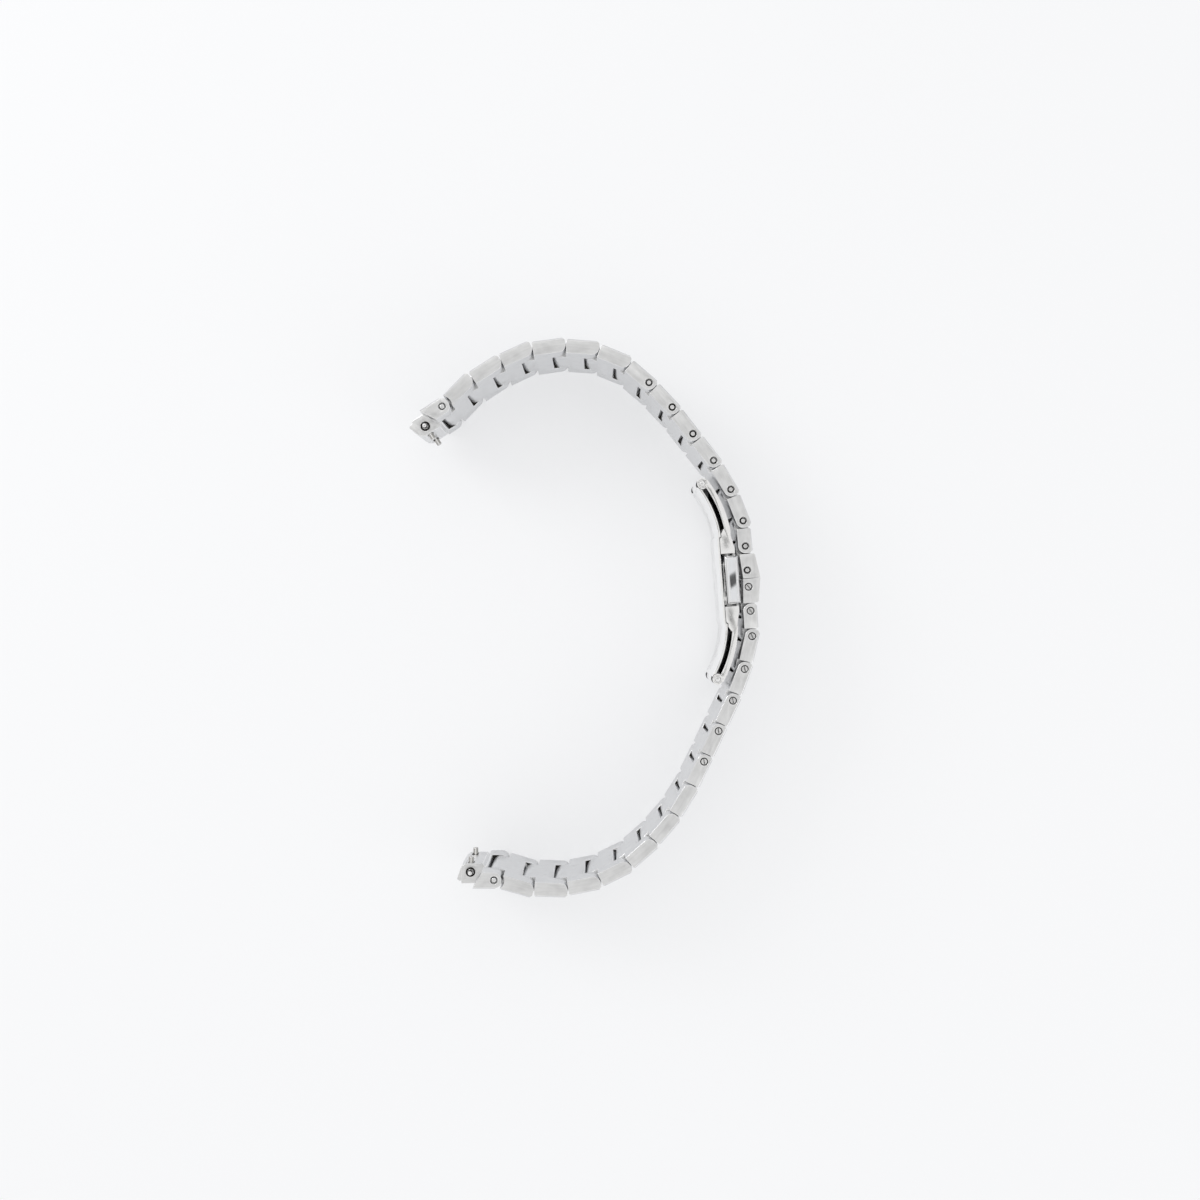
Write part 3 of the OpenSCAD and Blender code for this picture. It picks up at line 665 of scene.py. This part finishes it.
        shaft, head = size["Shaft Radius"], size["Head Radius"]
        neck = kit.math("SUBTRACT", size["Top"], size["Head Height"])
        inside = kit.math("MULTIPLY_ADD", size["Head Height"], self.screw_overlap, neck)
        cut_at = kit.math("ADD", size["Tail"], size["Chamfer"])
        rim_at = kit.math("SUBTRACT", size["Top"], size["Rim"])
        join = kit.node("GeometryNodeMeshBoolean", operation="UNION")
        for part in (rod(size["Tail"], cut_at, kit.math("SUBTRACT", shaft, size["Chamfer"]), shaft),
                     rod(cut_at, inside, shaft, shaft), rod(neck, rim_at, head, head),
                     rod(rim_at, size["Top"], head, kit.math("SUBTRACT", head, size["Rim"]))):
            kit.tree.links.new(part, join.inputs["Mesh 2"])
        slot_size = kit.join(kit.math("MULTIPLY", head, 4.0), size["Slot Width"],
                             kit.math("MULTIPLY", size["Slot Depth"], 2.0))
        slot = kit.feed(kit.node("GeometryNodeMeshCube"), Size=slot_size)
        spin = kit.feed(kit.node("FunctionNodeEulerToRotation"), i0=kit.join(z=size["Slot Turn"]))
        turned = kit.feed(kit.node("GeometryNodeTransform"), Geometry=slot.outputs["Mesh"],
                          Translation=kit.join(z=size["Top"]), Rotation=spin.outputs[0])
        cut = kit.node("GeometryNodeMeshBoolean", operation="DIFFERENCE")
        kit.feed(cut, i0=join.outputs["Mesh"])
        kit.tree.links.new(turned.outputs[0], cut.inputs["Mesh 2"])
        # The slot's faces within the head, and the chamfers, take the groove steel: painted shade.
        spot = kit.split(self._grain(kit, given))
        below = kit.math("LESS_THAN", spot["Z"], kit.math("SUBTRACT", size["Top"], LEVEL))
        in_head = kit.math("MULTIPLY", below, kit.math("GREATER_THAN", spot["Z"], inside))
        middle = self._within(kit, spot["X"], spot["Y"],
                              kit.math("MULTIPLY", head, self.slot_share))
        tilt = kit.math("ABSOLUTE", self._facing(kit, given, "Depth"))
        sloped = kit.math("COMPARE", tilt, *self.chamfer_facing)
        self._finish(kit, given, cut.outputs["Mesh"], kit.math("MULTIPLY", in_head, middle),
                     sloped)

    def _coil_spring(self, kit: TreeKit) -> None:
        """Builds the tree of a coil of round wire along z, with closed ends.

        Args:
            kit: the tree's kit.
        """
        for key in ("Radius", "Wire Radius", "Length", "Turns"):
            kit.socket(key, "INPUT", "NodeSocketFloat", 0.0)
        kit.socket("Geometry", "OUTPUT", "NodeSocketGeometry")
        given = kit.node("NodeGroupInput")
        size = given.outputs
        path = kit.feed(kit.node("GeometryNodeCurveSpiral"), Resolution=self.coil_steps,
                        Rotations=size["Turns"], Start_Radius=size["Radius"],
                        End_Radius=size["Radius"], Height=size["Length"])
        ring = kit.feed(kit.node("GeometryNodeCurvePrimitiveCircle"),
                        Resolution=self.wire_facets, Radius=size["Wire Radius"])
        wire = kit.feed(kit.node("GeometryNodeCurveToMesh"), Curve=path.outputs[0],
                        Profile_Curve=ring.outputs[0], Fill_Caps=True)
        smooth = kit.feed(kit.node("GeometryNodeSetShadeSmooth"), Geometry=wire.outputs[0])
        self._finish(kit, given, smooth.outputs[0])


TREES = Trees()


@dataclass
class Piece:
    """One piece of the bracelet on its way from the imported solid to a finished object.

    A frame is a raised border round the piece's largest end face; its width, depth and step
    are in millimetres, and a width of nought leaves it out.
    """

    node: str
    body: str
    slot: str
    stand: Stand
    face: Steel
    side: Steel
    edge: Steel = EDGE
    bore: Steel = BORE
    break_edge: float = 0.05
    tree: str = "steel_piece"
    sizes: dict[str, float] = field(default_factory=dict)
    frame_width: float = 0.0
    frame_depth: float = 0.1
    frame_step: float = 0.03
    facet_turn: float = 0.4
    edge_turn: float = 32.0
    edge_segments: int = 2

    @property
    def batch(self) -> float:
        """A fixed number of this piece, which tells its marks from the others'."""
        return float(sum(ord(letter) * (place + 3) for place, letter in enumerate(self.node)) % 97)

    def build(self) -> bpy.types.Object:
        """Makes the piece, breaks its edges, finishes it, hides the imported solid and parents it to its body's
        empty.

        Returns:
            The finished object.
        """
        blank = bpy.data.meshes.new(self.node + "_finished")
        if self.tree == "steel_piece":
            self._from_solid(blank)
        obj = place_object(self.node + "_finished", blank)
        for steel in (self.face, self.edge):
            obj.data.materials.append(steel.material())
        if self.tree == "steel_piece" and self.break_edge:
            self._bevel(obj)
        self._run_tree(obj)
        if self.tree != "steel_piece":
            obj.data.transform(self.stand.matrix)
            if self.break_edge:
                self._bevel(obj)
                self._apply(obj)
        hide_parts(self.node)
        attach(obj, self.body)
        LOG.info("%s: %d faces", self.node, len(obj.data.polygons))
        return obj

    def _from_solid(self, blank: bpy.types.Mesh) -> None:
        """Copies the node's solid, merges its doubles, makes its flats whole and frames it.

        Args:
            blank: the empty mesh that takes the result.
        """
        work = bmesh.new()
        work.from_mesh(frame["nodes"][self.node].data)
        bmesh.ops.remove_doubles(work, verts=work.verts, dist=MERGE)
        bmesh.ops.dissolve_limit(work, angle_limit=math.radians(self.facet_turn),
                                 verts=work.verts, edges=work.edges)
        if self.frame_width:
            ends = [face for face in work.faces
                    if abs(face.normal.dot(self.stand.depth)) > SQUARE_ON]
            panel = max(ends, key=lambda face: face.calc_area())
            bmesh.ops.inset_region(work, faces=[panel], thickness=self.frame_width * MM)
            bmesh.ops.inset_region(work, faces=[panel], thickness=self.frame_step * MM,
                                   depth=-self.frame_depth * MM)
        for face in work.faces:
            face.smooth = True
        work.to_mesh(blank)
        work.free()

    def _bevel(self, obj: bpy.types.Object) -> None:
        """Adds the broken edges as a modifier, on edges that turn by more than a facet does.

        Args:
            obj: the piece's object.
        """
        made = obj.modifiers.new("broken_edges", "BEVEL")
        made.width = self.break_edge * MM
        made.segments = self.edge_segments
        made.limit_method = "ANGLE"
        made.angle_limit = math.radians(self.edge_turn)
        made.material = 1 if self.tree == "steel_piece" else -1
        made.harden_normals = True

    def _run_tree(self, obj: bpy.types.Object) -> None:
        """Runs the piece's geometry tree on the object and keeps the plain mesh.

        Args:
            obj: the piece's object.
        """
        given = self.stand if self.tree == "steel_piece" else WORKBENCH
        inputs = {"Origin": given.origin, "Along": given.along, "Across": given.across,
                  "Grain Scale": given.scale, "Batch": self.batch,
                  "Face Steel": self.face.material(), "Side Steel": self.side.material(),
                  "Bore Steel": self.bore.material(), "Edge Steel": self.edge.material(),
                  **self.sizes}
        tree = TREES.get(self.tree)
        made = obj.modifiers.new(self.tree, "NODES")
        made.node_group = tree
        for item in tree.interface.items_tree:
            if item.item_type == "SOCKET" and item.in_out == "INPUT" and item.name in inputs:
                made[item.identifier] = inputs[item.name]
        self._apply(obj)

    @staticmethod
    def _apply(obj: bpy.types.Object) -> None:
        """Turns what the modifiers give into the object's own mesh, and removes them.

        Args:
            obj: the piece's object.
        """
        bpy.context.view_layer.update()
        graph = bpy.context.evaluated_depsgraph_get()
        mesh = bpy.data.meshes.new_from_object(
            obj.evaluated_get(graph), preserve_all_data_layers=True, depsgraph=graph)
        obj.modifiers.clear()
        old = obj.data
        obj.data = mesh
        mesh.name = old.name
        bpy.data.meshes.remove(old)


def place_object(name: str, mesh: bpy.types.Mesh) -> bpy.types.Object:
    """Puts a mesh into the scene as an object at the origin.

    Args:
        name: the object's name.
        mesh: its mesh.

    Returns:
        The object.
    """
    made = bpy.data.objects.new(name, mesh)
    bpy.context.scene.collection.objects.link(made)
    return made


class Side(Enum):
    """The two halves of the band, with the turn from a link's length to its outside."""

    UPPER = ("upper", -1.0)
    LOWER = ("lower", 1.0)

    @property
    def word(self) -> str:
        """The word that starts the half's names."""
        return self.value[0]

    def outward(self, along: Vector) -> Vector:
        """The outward direction of a link that runs along."""
        return Matrix.Rotation(self.value[1] * math.pi / 2, 3, "Z") @ along


def hinge_of(body: str) -> Vector:
    """Finds the hinge on which a body turns.

    Args:
        body: the body's name.

    Returns:
        The hinge's place, in the middle of the width.
    """
    for joint in frame["joints"]:
        if joint["child"] == body and "pos_m" in joint:
            return Vector(joint["pos_m"])
    raise LookupError(body)


def half_width(node: str) -> float:
    """Half of a node's size along the pins, in millimetres."""
    low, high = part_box(node)
    return (high.z - low.z) / (2 * MM)


def panel_middle(node: str, middle: float) -> Vector:
    """Finds the end face of a node that lies furthest from a middle height.

    Args:
        node: the node's name.
        middle: the middle height, in metres.

    Returns:
        The middle of that face.
    """
    points = [vert.co for vert in frame["nodes"][node].data.vertices]
    level = max((point.z for point in points), key=lambda z: abs(z - middle))
    rim = [point for point in points if abs(point.z - level) < LEVEL * MM]
    xs, ys = [point.x for point in rim], [point.y for point in rim]
    return Vector(((min(xs) + max(xs)) / 2, (min(ys) + max(ys)) / 2, level))


def mount_at(name: str) -> Vector:
    """Finds one of the record's mounts.

    Args:
        name: the mount's name.

    Returns:
        The mount's place.
    """
    for mount in frame["record"]["mounts"]:
        if mount["name"] == name:
            return Vector(mount["pos_m"])
    raise LookupError(name)


@dataclass
class PinScrew:
    """The slotted screw that pins two links; its head lies at the far end of its own z."""

    head_diameter: float = 1.3
    head_height: float = 0.5
    rim: float = 0.15
    diameter: float = 1.0
    chamfer: float = 0.15
    slot_width: float = 0.13
    slot_depth: float = 0.2
    slot_turn: float = 35.0
    broken_edge: float = 0.02

    def piece(self, node: str, body: str, stand: Stand) -> Piece:
        """Describes the screw of one link.

        Args:
            node: the screw's node.
            body: the link that it rides on.
            stand: the link's stand, whose depth points to the head.

        Returns:
            The piece to build.
        """
        low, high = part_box(node)
        ends = sorted((corner - stand.origin).dot(stand.depth) / MM for corner in (low, high))
        sizes = {"Tail": ends[0], "Top": ends[1], "Shaft Radius": self.diameter / 2,
                 "Chamfer": self.chamfer, "Rim": self.rim,
                 "Head Radius": self.head_diameter / 2, "Head Height": self.head_height,
                 "Slot Width": self.slot_width, "Slot Depth": self.slot_depth,
                 "Slot Turn": math.radians(self.slot_turn)}
        # The head's chamfers and slot take the groove steel: painted shade for the dark ring and slot line.
        return Piece(node, body, "screw_steel", stand, TURNED, TURNED, GROOVE, GROOVE,
                     self.broken_edge, "slotted_screw", sizes)


@dataclass
class BandHalf:
    """One half of the band: its cover link, half link, twelve links and end link."""

    side: Side
    screw: PinScrew = field(default_factory=PinScrew)
    broken_edge: float = 0.05
    end_edge: float = 0.07
    bar_x: float = 4.4
    bar_y: float = 0.45
    # Radii round the bar and the pins, and the depth of the pin recesses, within which a link's faces take painted
    # shade.
    bar_bore_radius: float = 1.0
    bore_radius: float = 0.72
    recess_depth: float = 0.4
    link_count: int = 12

    @property
    def chain(self) -> list[str]:
        """The bodies from the clasp to the case."""
        names = ["cover_link", "half_link",
                 *("link_%02d" % n for n in range(self.link_count, 0, -1)), "end_link"]
        return ["%s_%s" % (self.side.word, name) for name in names]

    def stand(self, body: str) -> Stand:
        """Finds where a link stands from its own pin and the next one.

        Args:
            body: the link's body.

        Returns:
            The link's stand, with its depth towards the screw heads.
        """
        here = hinge_of(body)
        chain = self.chain
        if body == chain[-1]:
            tips = [mount_at("%s_bar_tip_%s" % (self.side.word, end)) for end in ("near", "far")]
            way = (tips[0] + tips[1]) / 2 - here
            turn = math.atan2(self.bar_y, self.bar_x) * -self.side.value[1]
            along = (Matrix.Rotation(-turn, 3, "Z") @ way).normalized()
        else:
            along = (hinge_of(chain[chain.index(body) + 1]) - here).normalized()
        return Stand(here, along, self.side.outward(along))

    def pieces(self) -> list[Piece]:
        """Describes every link and screw of this half.

        Returns:
            The pieces to build.
        """
        made = []
        for body in self.chain:
            stand = self.stand(body)
            edge = self.end_edge if body.endswith("end_link") else self.broken_edge
            sizes = {"Pin Bore Radius": self.bore_radius,
                     "Open Face": half_width(body) - self.recess_depth / 2}
            if body.endswith("end_link"):
                sizes |= {"Bar Bore X": self.bar_x, "Bar Bore Y": self.bar_y,
                          "Bar Bore Radius": self.bar_bore_radius}
            made.append(Piece(body, body, "brushed_steel", stand, SATIN, BRUSHED,
                              break_edge=edge, sizes=sizes))
            for node in frame["record"]["behaviour"]["bodies"][body]:
                if "screw" in node:
                    made.append(self.screw.piece(node, body, stand))
        return made


@dataclass
class SpringBar:
    """The quick-release spring bar of one end link: barrel, coil and two knobbed plungers."""

    side: Side
    broken_edge: float = 0.04
    shoulder_radius: float = 0.6
    barrel_edge: float = 0.03
    tip_clearance: float = 0.1

    def pieces(self) -> list[Piece]:
        """Describes the bar's pieces.

        Returns:
            The pieces to build.
        """
        word = self.side.word
        end = BandHalf(self.side).stand(word + "_end_link")
        tips = [mount_at("%s_bar_tip_%s" % (word, way)) for way in ("near", "far")]
        stand = Stand((tips[0] + tips[1]) / 2, end.along, end.across)
        # The barrel's ends and broken edges take the groove steel: painted shade round the plungers.
        made = [Piece(word + "_spring_bar", word + "_end_link", "spring_bar_steel", stand, BAR,
                      GROOVE, GROOVE, break_edge=self.barrel_edge)]
        for way in ("near", "far"):
            node = "%s_plunger_%s" % (word, way)
            reach = max(abs(corner.z - stand.origin.z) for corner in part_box(node)) / MM
            # Inside its shoulder radius, all but the tip's end face takes the groove steel: painted shade round
            # the bright tip.
            made.append(Piece(node, node, "spring_bar_steel", stand, BAR, TURNED, bore=GROOVE,
                              break_edge=self.broken_edge,
                              sizes={"Pin Bore Radius": self.shoulder_radius,
                                     "Open Face": reach - self.tip_clearance}))
        return made


@dataclass
class FoldingClasp:
    """The two-winged clasp: base, housing, wings, hinge pins, push buttons and springs."""

    plate_edge: float = 0.06
    button_edge: float = 0.05
    button_frame: float = 0.32
    button_travel: float = 0.8
    spring_turns: float = 5.0
    spring_wire: float = 0.22

    def stand(self) -> Stand:
        """Finds the clasp's middle and its length from the wings' hinges.

        Returns:
            The clasp's stand.
        """
        upper, lower = hinge_of("upper_wing"), hinge_of("lower_wing")
        along = (upper - lower).normalized()
        return Stand((upper + lower) / 2, along, Side.UPPER.outward(along))

    def pieces(self) -> list[Piece]:
        """Describes the clasp's pieces.

        Returns:
            The pieces to build.
        """
        stand = self.stand()
        # The number picks the faces inside the gap between base plate and wings for painted shade: the base's
        # outward faces and the wings' inward ones.
        plates = [("clasp_base", "clasp", 1.0), ("latch_housing", "clasp", 0.0),
                  ("upper_wing", "upper_wing", -1.0), ("lower_wing", "lower_wing", -1.0)]
        made = [Piece(node, body, "polished_steel", stand, POLISHED, LUSTRE, bore=SHADED,
                      break_edge=self.plate_edge, sizes={"Gap Shade Way": way})
                for node, body, way in plates]
        made.append(Piece("wing_hinge_pins", "clasp", "screw_steel", stand, TURNED, TURNED))
        for way in ("near", "far"):
            node = "push_button_" + way
            panel = Stand(panel_middle(node, stand.origin.z), stand.along, stand.across)
            made.append(Piece(node, node, "polished_steel", panel, POLISHED, PANEL,
                              break_edge=self.button_edge, frame_width=self.button_frame))
            made.append(self._latch_spring("latch_spring_" + way))
        return made

    def press(self, piece: Piece, obj: bpy.types.Object) -> None:
        """Gives a latch spring's object a mesh of its own; other pieces stay as they are.

        Args:
            piece: the piece that was built.
            obj: its finished object.
        """
        if piece.tree != "coil_spring":
            return
        low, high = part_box(piece.node)
        fixed = min((low, high), key=lambda corner: abs(corner.z - self.stand().origin.z))
        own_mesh(obj)

    def _latch_spring(self, node: str) -> Piece:
        """Describes the coil behind a push button, as wide and as long as its solid.

        Args:
            node: the spring's node.

        Returns:
            The piece to build.
        """
        low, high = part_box(node)
        middle = (low + high) / 2
        wire = self.spring_wire / 2
        radius = (high.x - low.x) / (2 * MM) - wire
        stand = Stand(Vector((middle.x, middle.y, low.z + wire * MM)), WORKBENCH.along,
                      WORKBENCH.across)
        sizes = {"Radius": radius, "Wire Radius": wire, "Turns": self.spring_turns,
                 "Length": (high.z - low.z) / MM - self.spring_wire}
        return Piece(node, "clasp", "spring_steel", stand, WIRE, WIRE, break_edge=0.0,
                     tree="coil_spring", sizes=sizes)


@dataclass
class Studio:
    """The pale floor, the soft light and the camera over the bracelet."""

    middle: tuple[float, float] = (2.96, 2.95)
    height: float = 241.0
    lens: float = 39.1
    sensor: float = 36.0
    floor_size: float = 4000.0
    floor_grey: tuple[float, float, float] = (0.42, 0.422, 0.426)
    floor_glow: tuple[float, float, float] = (0.53, 0.533, 0.54)
    floor_roughness: float = 0.9
    sky: float = 0.9
    horizon: float = 0.6
    sky_rise: tuple[float, float] = (0.0, 0.75)
    camera_rim: tuple[float, float] = (0.985, 0.995)
    camera_shade: float = 0.12
    backdrop: tuple[float, float, float] = (0.93, 0.935, 0.945)
    lamp_aim: tuple[float, float, float] = (0.0, 0.0, 10.0)
    nearest: float = 5.0

    def build(self) -> None:
        """Builds the floor, the world, the lamps and the camera."""
        self._floor()
        self._world()
        self._lamps()
        self._camera()

    def _floor(self) -> None:
        """A plain pale floor under the band."""
        work = bmesh.new()
        bmesh.ops.create_grid(work, x_segments=1, y_segments=1, size=self.floor_size / 2 * MM)
        mesh = bpy.data.meshes.new("studio_floor")
        work.to_mesh(mesh)
        work.free()
        made = bpy.data.materials.new("studio_floor_pale")
        made.use_nodes = True
        shader = made.node_tree.nodes["Principled BSDF"]
        shader.inputs["Base Color"].default_value = (*self.floor_grey, 1.0)
        shader.inputs["Roughness"].default_value = self.floor_roughness
        shader.inputs["Emission Color"].default_value = (*self.floor_glow, 1.0)
        shader.inputs["Emission Strength"].default_value = 1.0
        mesh.materials.append(made)
        place_object("studio_floor", mesh)

    def _world(self) -> None:
        """A soft dome, brightest overhead, greyer at the horizon, with the dark camera on top."""
        world = bpy.data.worlds.new("studio_world")
        bpy.context.scene.world = world
        world.use_nodes = True
        world.node_tree.nodes.clear()
        kit = TreeKit(world.node_tree)
        up = kit.split(kit.node("ShaderNodeTexCoord").outputs["Generated"])["Z"]
        rise = kit.ease(up, *self.sky_rise, self.horizon, self.sky)
        overhead = kit.ease(up, *self.camera_rim, 1.0, self.camera_shade)
        light = kit.feed(kit.node("ShaderNodeBackground"), Color=(1.0, 1.0, 1.0, 1.0),
                         Strength=kit.math("MULTIPLY", rise, overhead))
        plain = kit.feed(kit.node("ShaderNodeBackground"), Color=(*self.backdrop, 1.0),
                         Strength=1.0)
        ray = kit.node("ShaderNodeLightPath")
        both = kit.feed(kit.node("ShaderNodeMixShader"), i0=ray.outputs["Is Camera Ray"],
                        i1=light.outputs[0], i2=plain.outputs[0])
        kit.feed(kit.node("ShaderNodeOutputWorld"), Surface=both.outputs[0])

    def _lamps(self) -> None:
        """Two wide soft lamps, one from the upper left and a weaker one from the right."""
        plan = [("key_lamp", (-420.0, 260.0, 300.0), 240.0, 0.62),
                ("fill_lamp", (360.0, -160.0, 240.0), 220.0, 0.12)]
        for name, place, size, power in plan:
            lamp = bpy.data.lights.new(name, "AREA")
            lamp.shape = "SQUARE"
            lamp.size = size * MM
            lamp.energy = power
            made = bpy.data.objects.new(name, lamp)
            made.location = Vector(place) * MM
            aim = Vector(self.lamp_aim) * MM - made.location
            made.rotation_euler = aim.to_track_quat("-Z", "Y").to_euler()
            bpy.context.scene.collection.objects.link(made)

    def _camera(self) -> None:
        """The camera straight over the band, as in the photograph."""
        lens = bpy.data.cameras.new("camera")
        lens.sensor_width = self.sensor
        lens.lens = self.lens
        lens.clip_start = self.nearest * MM
        made = bpy.data.objects.new("camera", lens)
        made.location = Vector((*self.middle, self.height)) * MM
        bpy.context.scene.collection.objects.link(made)
        bpy.context.scene.camera = made
        bpy.context.scene.view_settings.view_transform = "Standard"


def main() -> None:
    """Builds the studio and every sub-assembly in order, and reports each piece."""
    logging.basicConfig(level=logging.INFO, format="%(message)s")
    Studio().build()
    for side in Side:
        for part in (BandHalf(side), SpringBar(side)):
            for piece in part.pieces():
                piece.build()
    clasp = FoldingClasp()
    for piece in clasp.pieces():
        clasp.press(piece, piece.build())


if __name__ == "__main__":
    main()
